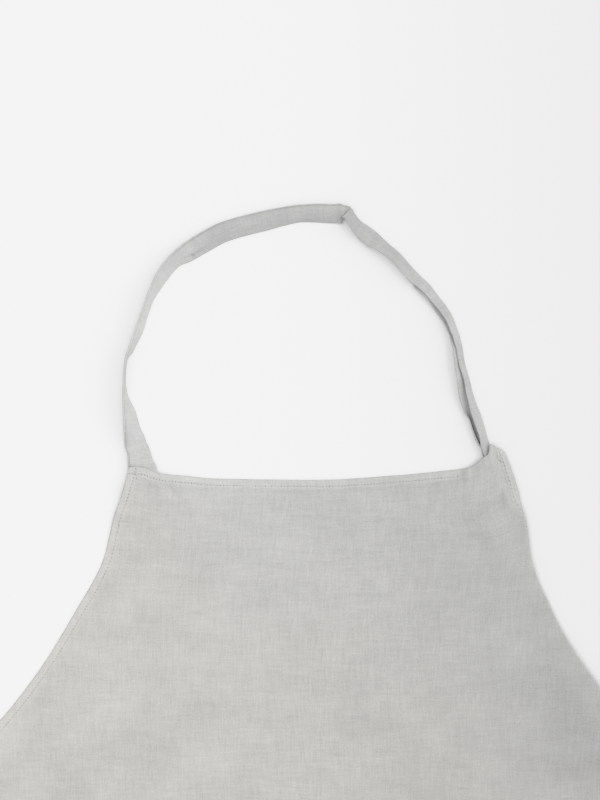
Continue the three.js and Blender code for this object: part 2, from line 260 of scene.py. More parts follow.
# The neck strap, from the end sewn under the left corner over the top to the end under the right corner.
NECK_STRAP = Table(
    BAND_COLUMNS,
    (
        (-147.0, -9.0, 0, 0, 0.50, 0.6, 0, 22.0, 0.6),
        (-147.5, 7.5, 0, 0, 0.50, 0.6, 0, 22.0, 2.5),
        (-147.7, 12.5, -14, -8, 0.50, 0.6, 0, 20.0, 1.6),
        (-148.2, 18.0, -10, -6, 0.50, 0.6, 0, 18.0, 1.2),
        (-150.2, 24.0, -10, -6, 0.50, 0.6, 0, 17.4, 1.0),
        (-150.6, 31.0, -24, -20, 0.50, 0.6, 0, 17.0, 0.5),
        (-150.8, 39.0, -42, -40, 0.50, 0.6, 0, 16.5, 0.0),
        (-151.2, 52.0, -59, -57, 0.50, 0.6, 0, 16.5, 0.0),
        (-151.5, 64.0, -80, -78, 0.50, 0.6, 0, 16.5, 0.0),
        (-151.2, 77.0, -89, -87, 0.50, 0.6, 0, 16.5, 0.0),
        (-149.9, 92.0, -92, -89, 0.50, 0.6, 0, 16.5, 0.0),
        (-146.9, 102.0, -78, -74, 0.50, 0.6, 0, 16.5, 0.0),
        (-142.9, 113.7, -72, -68, 0.50, 0.6, 0, 16.5, 0.0),
        (-138.3, 126.3, -74, -70, 0.50, 0.6, 0, 16.5, 0.0),
        (-134.1, 138.7, -73, -69, 0.50, 0.6, 0, 16.5, 0.0),
        (-129.4, 151.2, -64, -58, 0.50, 0.6, 0, 16.5, 0.0),
        (-122.9, 163.5, -56, -50, 0.50, 0.6, 0, 16.5, 0.0),
        (-115.5, 172.9, -52, -48, 0.50, 0.6, 0, 16.5, 0.0),
        (-106.2, 181.3, -28, -32, 0.50, 0.6, 0, 16.5, 0.0),
        (-90.8, 191.8, -4, -28, 0.50, 0.9, 0, 16.5, 0.0),
        (-75.5, 199.6, 8, -28, 0.50, 0.9, 0, 16.2, 0.0),
        (-44.5, 208.2, 8, -28, 0.50, 0.9, 0, 16.2, 0.0),
        (-29.0, 211.2, 10, -38, 0.50, 0.9, 0, 15.4, 0.0),
        (-13.3, 213.5, 12, -42, 0.50, 0.9, 0, 14.7, 0.0),
        (2.3, 214.2, 10, -38, 0.50, 0.9, 0, 15.5, 0.0),
        (12.0, 214.0, 6, -34, 0.50, 0.9, 0, 15.7, 0.0),
        (17.0, 214.4, 6, -38, 0.50, 0.8, 0, 16.0, 0.4),
        (20.9, 213.2, 12, -42, 0.50, 0.6, 0, 16.5, 1.4),
        (25.6, 212.2, 40, -38, 0.46, 0.5, 0, 16.5, 1.4),
        (27.4, 210.2, 110, 14, 0.36, 0.4, 0, 16.5, 0.8),
        (30.4, 205.5, 180, 40, 0.30, 0.24, 0, 16.5, 0.2),
        (34.0, 201.1, 180, 32, 0.28, 0.2, 0, 16.5, 0.0),
        (39.4, 197.5, 180, 14, 0.22, 0.2, 0, 16.5, 0.0),
        (47.1, 191.6, 180, 10, 0.20, 0.2, 0, 16.5, 0.0),
        (54.3, 184.7, 180, 32, 0.31, 0.2, 0, 16.5, 0.0),
        (65.1, 175.4, 180, 33, 0.35, 0.2, 0, 16.5, 0.0),
        (76.0, 163.0, 182, 24, 0.40, 0.2, 0, 16.5, 0.0),
        (80.2, 158.7, 184, 21, 0.42, 0.2, 0, 16.8, 0.0),
        (82.5, 156.4, 192, 18, 0.53, 0.2, 0, 18.6, 0.0),
        (87.8, 151.6, 200, 18, 0.54, 0.18, 0, 18.8, 0.0),
        (92.6, 145.4, 204, 20, 0.54, 0.17, 0, 16.8, 0.0),
        (97.4, 139.2, 198, 26, 0.54, 0.18, 0, 16.5, 0.0),
        (101.6, 133.6, 190, 32, 0.54, 0.2, 0, 16.5, 0.0),
        (106.0, 126.0, 194, 42, 0.51, 0.2, 0, 16.5, 0.0),
        (108.9, 118.9, 206, 50, 0.47, 0.18, 0, 16.5, 0.0),
        (111.3, 111.7, 218, 48, 0.51, 0.16, 0, 16.5, 0.0),
        (113.3, 103.9, 226, 45, 0.55, 0.15, 0, 16.5, 0.0),
        (114.8, 94.5, 226, 44, 0.59, 0.15, 0, 16.5, 0.0),
        (116.4, 86.7, 218, 42, 0.61, 0.16, 0, 16.5, 0.0),
        (119.5, 76.6, 210, 40, 0.65, 0.16, 20, 17.6, 0.0),
        (121.9, 66.4, 198, 36, 0.64, 0.18, 24, 18.2, 0.0),
        (125.0, 57.0, 188, 30, 0.62, 0.2, 30, 19.0, 0.0),
        (128.1, 49.2, 180, 36, 0.58, 0.2, 72, 20.5, 0.0),
        (130.5, 41.4, 180, 40, 0.59, 0.2, 86, 21.0, 0.0),
        (132.0, 35.9, 180, 42, 0.58, 0.2, 90, 20.4, 0.0),
        (133.3, 31.2, 180, 36, 0.57, 0.2, 92, 19.6, 0.0),
        (135.2, 25.8, 180, 24, 0.54, 0.2, 92, 17.6, 0.0),
        (136.6, 18.0, 180, 16, 0.54, 0.24, 30, 13.0, 0.0),
        (139.0, 6.6, 180, 10, 0.54, 0.24, 0, 12.0, 0.0),
    ),
)

# The right waist tie, from its sewn end beside the skirt to its free end. The left one is its mirror image.
WAIST_TIE = Table(
    BAND_COLUMNS,
    (
        (338, -270, 0, 0, 0.5, 0.6, 0, 16.5, 0.0),
        (356, -270, 0, 0, 0.5, 0.6, 0, 16.5, 0.0),
        (376, -272, -28, -24, 0.5, 0.6, 0, 16.5, 0.0),
        (395, -280, -62, -58, 0.5, 0.6, 0, 16.5, 0.0),
        (408, -297, -76, -74, 0.5, 0.6, 0, 16.5, 0.0),
        (413, -324, -70, -66, 0.5, 0.6, 0, 16.5, 0.0),
        (413, -360, -42, -38, 0.5, 0.6, 0, 16.5, 0.0),
        (412, -410, -12, -10, 0.5, 0.6, 0, 16.5, 0.0),
        (413, -470, 0, 0, 0.5, 0.6, 0, 16.5, 0.0),
        (416, -600, 0, 0, 0.5, 0.6, 0, 16.5, 0.0),
        (412, -730, 0, 0, 0.5, 0.6, 0, 16.5, 0.0),
        (415, -850, 0, 0, 0.5, 0.6, 0, 16.5, 0.0),
    ),
)

# How light a band's linen is along its outer edge. On the neck strap this is painted light and shade:
# lighter up its left side, darker over the top and down its right side, where less light falls. The ties are
# even.
STRAP_PAINTED_LIGHT = Table(
    ("run", "tone"),
    (
        (0, 1.00),
        (40, 1.02),
        (70, 1.05),
        (110, 1.11),
        (130, 1.13),
        (175, 1.08),
        (205, 0.97),
        (236, 0.91),
        (275, 0.93),
        (312, 0.90),
        (332, 0.97),
        (350, 0.90),
        (375, 0.94),
        (398, 0.91),
        (412, 0.98),
        (450, 1.01),
        (560, 1.03),
    ),
)
TIE_TONE = Table(("run", "tone"), ((0, 1.0), (600, 1.0)))

# Strap and tie ends sewn in under the cloth, each a level rectangle with a ramp round it.
SEWN_ENDS = Table(
    ("left", "right", "bottom", "top", "ramp", "height"),
    (
        (-158, -124, -14, 20, 14, 1.6),
        (326, 360, -300, -262, 18, 1.6),
        (-360, -326, -300, -262, 18, 1.6),
    ),
)

# Bars of needle holes in painted shade across the strap's sewn ends, one at the left corner and two at the
# right.
CORNER_BARS = (
    Seam("cloth", "Y", -145.4, start=-10.0, end=-1.5, groove=0.3),
    Seam("cloth", "X", -11.0, start=143.7, end=151.2, groove=0.5),
    Seam("cloth", "Y", 143.8, start=-9.5, end=-4.5, groove=0.5),
)


def hermite(keys: Array, values: Array, at: Array) -> Array:
    """Reads values between keys on a cubic through each pair, with slopes that never overshoot.

    The slope at a key is the harmonic mean of the slopes on either side, or nothing where they point opposite
    ways.

    Args:
        keys: rising places.
        values: the value at each place.
        at: where to read, clamped to the ends.

    Returns:
        The values there, in the shape of at.
    """
    secants = np.diff(values) / np.diff(keys)
    before, after = secants[:-1], secants[1:]
    together = before * after
    total = np.where(together > 0, before + after, 1.0)
    inner = np.where(together > 0, 2 * together / total, 0.0)
    slopes = np.concatenate(([secants[0]], inner, [secants[-1]]))
    place = np.clip(at, keys[0], keys[-1])
    i = np.clip(np.searchsorted(keys, place), 1, len(keys) - 1)
    span = keys[i] - keys[i - 1]
    t = (place - keys[i - 1]) / span
    rest = 1 - t
    return (
        values[i - 1] * (1 + 2 * t) * rest**2
        + values[i] * (3 - 2 * t) * t**2
        + span * (slopes[i - 1] * t * rest**2 - slopes[i] * t**2 * rest)
    )


def smooth(value: Array, start: float, end: float) -> Array:
    """Smooth step from 0 at start to 1 at end: 3t^2 - 2t^3 of the clamped share t."""
    t = np.clip((value - start) / (end - start), 0, 1)
    return t * t * (3 - 2 * t)


def ripple(x: Array, y: Array, size: float, seed: int) -> Array:
    """Smooth random hills from -1 to 1.

    Random heights stand on a square lattice of the given size and each point blends its four corners,
    with a quintic step along each side.

    Args:
        x: first coordinate, in millimetres.
        y: second coordinate, in millimetres.
        size: lattice spacing, in millimetres.
        seed: seed of the lattice's random heights.

    Returns:
        The height at each point.
    """
    cells = 128
    lattice = np.random.default_rng(seed).uniform(-1, 1, (cells, cells))
    px, py = x / size, y / size
    ix, iy = np.floor(px).astype(int), np.floor(py).astype(int)
    tx, ty = px - ix, py - iy
    sx = tx**3 * (tx * (6 * tx - 15) + 10)
    sy = ty**3 * (ty * (6 * ty - 15) + 10)
    left, right, near, far = ix % cells, (ix + 1) % cells, iy % cells, (iy + 1) % cells
    low = lattice[left, near] * (1 - sx) + lattice[right, near] * sx
    high = lattice[left, far] * (1 - sx) + lattice[right, far] * sx
    return low * (1 - sy) + high * sy


def bumps(table: Table, x: Array, y: Array) -> Array:
    """Height of a table of rounded folds: each is a squared cosine that reaches nothing at its elliptic rim.

    Args:
        table: rows of x, y, run, spread, turn and height.
        x: first coordinates, in millimetres.
        y: second coordinates, in millimetres.

    Returns:
        The summed height at each point.
    """
    total = np.zeros(np.broadcast(x, y).shape)
    for cx, cy, run, spread, turn, height in table.rows:
        angle = math.radians(turn)
        along = (x - cx) * math.cos(angle) + (y - cy) * math.sin(angle)
        aside = (y - cy) * math.cos(angle) - (x - cx) * math.sin(angle)
        reach = np.minimum(np.hypot(along / run, aside / spread), 1)
        total += height * np.cos(reach * math.pi / 2) ** 2
    return total


def run_along(points: Array) -> Array:
    """Distance along a line of points, from nothing at the first one."""
    return np.concatenate(([0], np.cumsum(np.linalg.norm(np.diff(points, axis=0), axis=1))))


def to_frame(points: Array) -> Array:
    """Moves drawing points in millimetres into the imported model's frame, in metres."""
    return points * MM + np.array([0.0, TOP_EDGE_Y, 0.0])


def grid_quads(rows: int, columns: int, round_columns: bool = False) -> Array:
    """Vertex numbers of the quads of a grid.

    Args:
        rows: points along the first direction.
        columns: points along the second direction.
        round_columns: whether the last column meets the first.

    Returns:
        One row of four vertex numbers for each quad.
    """
    r = np.arange(rows - 1)[:, None]
    c = np.arange(columns if round_columns else columns - 1)[None, :]
    after = (c + 1) % columns
    corners = (r * columns + c, (r + 1) * columns + c, (r + 1) * columns + after, r * columns + after)
    return np.stack([np.broadcast_to(k, (r.shape[0], c.shape[1])) for k in corners], -1).reshape(-1, 4)


def tube_quads(rows: int, columns: int) -> Array:
    """Vertex numbers of a tube with closed ends: across an end, point i faces point columns - 1 - i.

    Args:
        rows: sections of the tube.
        columns: points round a section, an even number.

    Returns:
        One row of four vertex numbers for each quad.
    """
    i = np.arange(columns // 2 - 1)
    far = columns - 1 - i
    first = np.stack((i, i + 1, far - 1, far), -1)
    last = (rows - 1) * columns + first[:, ::-1]
    return np.concatenate((grid_quads(rows, columns, round_columns=True), first, last))


def strip_ring(middle: Array, normal: Array, half_wall: Array) -> Array:
    """Points round each section of a strip: over its upper face and back under its lower one.

    Args:
        middle: points of the strip's middle surface, by section and column.
        normal: the surface's unit normals.
        half_wall: half the thickness at each column, nothing at the first and the last.

    Returns:
        The points of the closed sections.
    """
    wall = normal * half_wall[..., None]
    return np.concatenate((middle + wall, (middle - wall)[:, -2:0:-1]), axis=1)


def make_mesh(
    name: str, points: Array, quads: Array, maps: dict[str, Array] | None = None
) -> bpy.types.Object:
    """Makes an object from arrays, its place in its mesh.

    Args:
        name: the object's name.
        points: drawing points in millimetres, with x, y and z on the last axis.
        quads: four vertex numbers for each face.
        maps: UV maps by name, with a pair for each vertex on the last axis.

    Returns:
        The new object, linked to the scene and shaded smooth.
    """
    mesh = bpy.data.meshes.new(name)
    mesh.vertices.add(points.size // 3)
    mesh.vertices.foreach_set("co", to_frame(points).astype(np.float32).ravel())
    mesh.loops.add(quads.size)
    mesh.loops.foreach_set("vertex_index", quads.astype(np.int32).ravel())
    mesh.polygons.add(len(quads))
    mesh.polygons.foreach_set("loop_start", np.arange(0, quads.size, 4, dtype=np.int32))
    mesh.polygons.foreach_set("use_smooth", np.ones(len(quads), bool))
    mesh.update(calc_edges=True)
    for layer, pairs in (maps or {}).items():
        corners = pairs.reshape(-1, 2)[quads.ravel()]
        mesh.uv_layers.new(name=layer).data.foreach_set("uv", corners.astype(np.float32).ravel())
    mesh.validate()
    made = bpy.data.objects.new(name, mesh)
    bpy.context.scene.collection.objects.link(made)
    return made


def tone_map(tone: Array) -> Array:
    """A UV map that carries a tone for each vertex on its first axis."""
    return np.stack((tone, np.zeros_like(tone)), -1)


def linear(code: str) -> tuple[float, float, float, float]:
    """Turns an sRGB hex colour into linear red, green, blue and a full alpha."""
    parts = [int(code[i : i + 2], 16) / 255 for i in (1, 3, 5)]
    return (*[c / 12.92 if c <= 0.04045 else ((c + 0.055) / 1.055) ** 2.4 for c in parts], 1.0)


def add_node(
    tree: bpy.types.NodeTree, kind: str, settings: dict | None = None, links: dict | None = None
) -> bpy.types.Node:
    """Adds one node to a material.

    Args:
        tree: the node tree.
        kind: the node's type name.
        settings: values by socket name or number, or by the node's own property.
        links: source sockets by the name or number of the socket that they feed.

    Returns:
        The new node.
    """
    node = tree.nodes.new(kind)
    for key, value in (settings or {}).items():
        if isinstance(key, str) and hasattr(node, key):
            setattr(node, key, value)
        else:
            node.inputs[key].default_value = value
    for key, source in (links or {}).items():
        tree.links.new(source, node.inputs[key])
    return node


def new_material(name: str, surface: dict) -> tuple[bpy.types.Material, Adder, bpy.types.Node]:
    """Starts a material.

    Args:
        name: the material's name.
        surface: values of the surface shader by socket name.

    Returns:
        The material, a function that adds a node to it, and its surface shader.
    """
    material = bpy.data.materials.new(name)
    material.use_nodes = True
    shader = material.node_tree.nodes["Principled BSDF"]
    for socket, value in surface.items():
        shader.inputs[socket].default_value = value
    return material, partial(add_node, material.node_tree), shader


@dataclass(frozen=True)
class LinenFinish:
    """Washed plain-weave linen: matt, pale grey, with thick and thin yarns that show as fine streaks.

    The yarns are 0.6 mm apart, finer than one picture point, so the streaks are drawn 1 to 2.4 mm wide and 12
    to 36 mm long to show. Softer clouds, some centimetres wide, come from washing. The map of tones scales the
    colour: it carries the hems' lightness, and painted light and shade in soft patches and along the strap.
    The seams' needle holes darken it with painted shade. Sizes are in metres.
    """

    name: str
    dark: str = "#a8a8a6"
    light: str = "#c4c4c1"
    seams: tuple[Seam, ...] = ()
    yarn: float = 0.6 * MM
    weave_share: float = 0.7
    weave_depth: float = 0.12 * MM
    streak_width: float = 1.0 * MM
    streak_length: float = 12.0 * MM
    cloud: float = 34.0 * MM
    pitch: float = 2.5 * MM
    pit: float = 0.55 * MM
    pit_rim: tuple[float, float] = (0.4, 1.3)
    pit_painted_shade: float = 0.42
    cool: tuple[float, float, float] = (0.998, 0.996, 1.016)
    warm: tuple[float, float, float] = (1.005, 0.991, 0.980)
    wash_rise: tuple[float, float, float] = (-2.4, -3.6, 0.0)
    roughness: float = 0.92

    def build(self) -> bpy.types.Material:
        """Builds the material: the yarns' colour, times the map of tones with its painted light and shade, the
        painted shade of the needle holes, and the wash.

        Returns:
            The finished material.
        """
        surface = {"Roughness": self.roughness, "IOR": 1.5, "Specular IOR Level": 0.2}
        sheen = {"Sheen Weight": 0.06, "Sheen Roughness": 0.6}
        material, add, shader = new_material(self.name, surface | sheen)
        links = material.node_tree.links
        cloth = add("ShaderNodeUVMap", {"uv_map": "cloth"}).outputs["UV"]
        yarns = self.yarns(add, cloth)
        ends = {"data_type": "RGBA", 6: linear(self.dark), 7: linear(self.light)}
        colour = add("ShaderNodeMix", ends, {0: yarns}).outputs[2]
        # The map of tones: the hems' lightness, with painted light and shade in soft patches and along the
        # strap.
        fade = add("ShaderNodeUVMap", {"uv_map": "tone"}).outputs["UV"]
        factors = [add("ShaderNodeSeparateXYZ", {}, {"Vector": fade}).outputs["X"]]
        # Painted shade in the needle holes darkens the colour.
        pits = self.needle_hole_shade(add)
        if pits is not None:
            shade = {"To Min": 1.0, "To Max": self.pit_painted_shade}
            factors.append(add("ShaderNodeMapRange", shade, {"Value": pits}).outputs["Result"])
        for factor in factors:
            scaled = add("ShaderNodeVectorMath", {"operation": "SCALE"}, {"Vector": colour, "Scale": factor})
            colour = scaled.outputs["Vector"]
        washed = add("ShaderNodeVectorMath", {"operation": "MULTIPLY"}, {0: colour, 1: self.wash(add, cloth)})
        links.new(washed.outputs["Vector"], shader.inputs["Base Color"])
        links.new(self.relief(add, cloth, yarns), shader.inputs["Normal"])
        return material

    def streaks(self, add: Adder, cloth: Socket, across: float, along: float, shift: float) -> Socket:
        """Noise stretched along one set of yarns.

        Args:
            add: adds a node.
            cloth: the cloth's UV coordinates in metres.
            across: width of a streak in metres.
            along: length of a streak in metres.
            shift: a shift that keeps two sets of streaks apart.

        Returns:
            The noise, about 0.5 in the mean.
        """
        stretch = {"Scale": (1 / across, 1 / along, 1.0), "Location": (shift, 3 * shift, shift)}
        spread = add("ShaderNodeMapping", stretch, {"Vector": cloth}).outputs["Vector"]
        grain = {"Scale": 1.0, "Detail": 2.0, "Roughness": 0.6}
        return add("ShaderNodeTexNoise", grain, {"Vector": spread}).outputs[0]

    def yarns(self, add: Adder, cloth: Socket) -> Socket:
        """Lightness of the yarns from 0 to 1: streaks along both sets, thick yarns, soft clouds and slubs,
        with wide bands across that are partly painted shade of small wrinkles.

        Args:
            add: adds a node.
            cloth: the cloth's UV coordinates in metres.

        Returns:
            The sum of the weighted layers, shifted so that its mean stays 0.5.
        """
        width, length, cloud = self.streak_width, self.streak_length, self.cloud
        # Each layer's weight, then the width, length and shift of its streaks.
        layers = (
            (0.76, 0.9 * width, 1.1 * length, 1.3),
            (0.46, length, width, 7.1),
            (0.20, 1.8 * width, 3 * length, 13.7),
            # Wide bands across the cloth: partly weft streaks, partly painted shade standing for small
            # wrinkles.
            (0.46, 2 * length, 2.4 * width, 19.2),
            (0.54, cloud, 0.6 * cloud, 4.4),
            (1.16, width, width, 23.9),
        )
        base = 0.5 - 0.5 * sum(layer[0] for layer in layers)
        total = None
        for weight, *streak in layers:
            parts = {0: self.streaks(add, cloth, *streak)}
            if total is not None:
                parts[2] = total
            total = add("ShaderNodeMath", {"operation": "MULTIPLY_ADD", 1: weight, 2: base}, parts).outputs[0]
        return total

    def wash(self, add: Adder, cloth: Socket) -> Socket:
        """Tint of the uneven wash: cool at the bib's top, warmer down and to the left, with soft patches.

        Args:
            add: adds a node.
            cloth: the cloth's UV coordinates in metres.

        Returns:
            A colour close to white that multiplies the cloth's.
        """
        rise = add("ShaderNodeVectorMath", {"operation": "DOT_PRODUCT", 1: self.wash_rise}, {0: cloth})
        patches = self.streaks(add, cloth, 4 * self.cloud, 3 * self.cloud, 31.3)
        moved = add("ShaderNodeMath", {"operation": "ADD"}, {0: rise.outputs["Value"], 1: patches}).outputs[0]
        clamped = {"operation": "SUBTRACT", 1: 0.5, "use_clamp": True}
        level = add("ShaderNodeMath", clamped, {0: moved}).outputs[0]
        tints = {"data_type": "RGBA", 6: (*self.cool, 1.0), 7: (*self.warm, 1.0)}
        return add("ShaderNodeMix", tints, {0: level}).outputs[2]

    def needle_hole_shade(self, add: Adder) -> Socket | None:
        """The painted shade of the needle holes of all seams together.

        Args:
            add: adds a node.

        Returns:
            A share that is 1 in a pit and 0 outside, or None where there is no seam.
        """
        total = None
        for seam in self.seams:
            holes = self.seam_hole_shade(add, seam)
            if total is not None:
                holes = add("ShaderNodeMath", {"operation": "MAXIMUM"}, {0: total, 1: holes}).outputs[0]
            total = holes
        return total

    def seam_hole_shade(self, add: Adder, seam: Seam) -> Socket:
        """Painted shade in small round pits where the needle went through, one every stitch along a seam.

        A pit is a smooth step of the distance from its middle, times a random depth of its own, between the
        seam's start and end. A groove draws the distances along the seam together.

        Args:
            add: adds a node.
            seam: the row of needle holes.

        Returns:
            A share that is 1 in a pit and 0 outside.
        """
        pair = add("ShaderNodeUVMap", {"uv_map": seam.uv_map}).outputs["UV"]
        parts = add("ShaderNodeSeparateXYZ", {}, {"Vector": pair}).outputs
        run, across = parts[seam.run_axis], parts[seam.other_axis()]
        count = add("ShaderNodeMath", {"operation": "DIVIDE", 1: self.pitch}, {0: run}).outputs[0]
        share = add("ShaderNodeMath", {"operation": "FRACT"}, {0: count}).outputs[0]
        reach = (1 - seam.groove) * self.pitch
        centred = {"operation": "MULTIPLY_ADD", 1: reach, 2: -0.5 * reach}
        along = add("ShaderNodeMath", centred, {0: share}).outputs[0]
        placed = {"operation": "SUBTRACT", 1: seam.place * MM}
        aside = add("ShaderNodeMath", placed, {0: across}).outputs[0]
        both = add("ShaderNodeCombineXYZ", {}, {"X": along, "Y": aside}).outputs["Vector"]
        distance = add("ShaderNodeVectorMath", {"operation": "LENGTH"}, {"Vector": both}).outputs["Value"]
        first, last = (rim * self.pit for rim in self.pit_rim)
        rim = {"From Min": first, "From Max": last, "To Min": 1.0, "To Max": 0.0}
        pit = add("ShaderNodeMapRange", {"interpolation_type": "SMOOTHSTEP"} | rim, {"Value": distance})
        number = add("ShaderNodeMath", {"operation": "FLOOR"}, {0: count}).outputs[0]
        chance = add("ShaderNodeTexWhiteNoise", {"noise_dimensions": "1D"}, {"W": number}).outputs["Value"]
        depth = add("ShaderNodeMapRange", {"To Min": seam.least, "To Max": 1.0}, {"Value": chance})
        before = add("ShaderNodeMath", {"operation": "LESS_THAN", 1: seam.end * MM}, {0: run})
        after = add("ShaderNodeMath", {"operation": "GREATER_THAN", 1: seam.start * MM}, {0: run})
        holes = pit.outputs["Result"]
        for factor in (depth, before, after):
            product = {0: holes, 1: factor.outputs[0]}
            holes = add("ShaderNodeMath", {"operation": "MULTIPLY"}, product).outputs[0]
        return holes

    def relief(self, add: Adder, cloth: Socket, yarns: Socket) -> Socket:
        """Bump of the plain weave: uneven yarns go over and under like the product of two sine waves.

        Args:
            add: adds a node.
            cloth: the cloth's UV coordinates in metres.
            yarns: the streaks, which are also a little higher where they are lighter.

        Returns:
            The bumped normal.
        """
        wave = {"wave_type": "BANDS", "wave_profile": "SIN", "Scale": WAVE_PERIOD / (2 * self.yarn)}
        uneven = {"Distortion": 1.2, "Detail": 1.0, "Detail Scale": 0.4}
        warp, weft = (
            add("ShaderNodeTexWave", wave | uneven | {"bands_direction": axis}, {"Vector": cloth}).outputs[1]
            for axis in ("X", "Y")
        )
        weave = add("ShaderNodeMath", {"operation": "MULTIPLY"}, {0: warp, 1: weft}).outputs[0]
        mixed = {"operation": "MULTIPLY_ADD", 1: self.weave_share}
        height = add("ShaderNodeMath", mixed, {0: weave, 2: yarns}).outputs[0]
        depth = {"Strength": 0.5, "Distance": self.weave_depth}
        return add("ShaderNodeBump", depth, {"Height": height}).outputs["Normal"]


@dataclass(frozen=True)
class ThreadFinish:
    """Spun sewing thread, close to the cloth in tone: matt, with a fine twist along it drawn in painted light
    and shade.
    """

    name: str = "sewing_thread"
    colour: str = "#bdbdb8"
    twist: float = 0.35 * MM
    shade: float = 0.82
    roughness: float = 0.8

    def build(self) -> bpy.types.Material:
        """Builds the material, whose slanting bands of painted light and shade read as the thread's twist.

        Returns:
            The finished material.
        """
        surface = {"Roughness": self.roughness, "Specular IOR Level": 0.25}
        material, add, shader = new_material(self.name, surface)
        place = add("ShaderNodeTexCoord").outputs["Object"]
        slant = {"bands_direction": "DIAGONAL", "Scale": WAVE_PERIOD / self.twist, "Distortion": 0.6}
        bands = add("ShaderNodeTexWave", slant, {"Vector": place}).outputs[1]
        base = linear(self.colour)
        # A shaded copy of the thread's colour: painted shade of the twist.
        dark = (*[self.shade * c for c in base[:3]], 1.0)
        colour = add("ShaderNodeMix", {"data_type": "RGBA", 6: dark, 7: base}, {0: bands}).outputs[2]
        material.node_tree.links.new(colour, shader.inputs["Base Color"])
        return material


@dataclass(frozen=True)
class FloorFinish:
    """Matt white painted board, even all over."""

    name: str = "white_board"
    colour: str = "#f2f2f2"
    roughness: float = 0.7

    def build(self) -> bpy.types.Material:
        """Builds the material."""
        surface = {"Base Color": linear(self.colour), "Roughness": self.roughness, "Specular IOR Level": 0.1}
        return new_material(self.name, surface)[0]


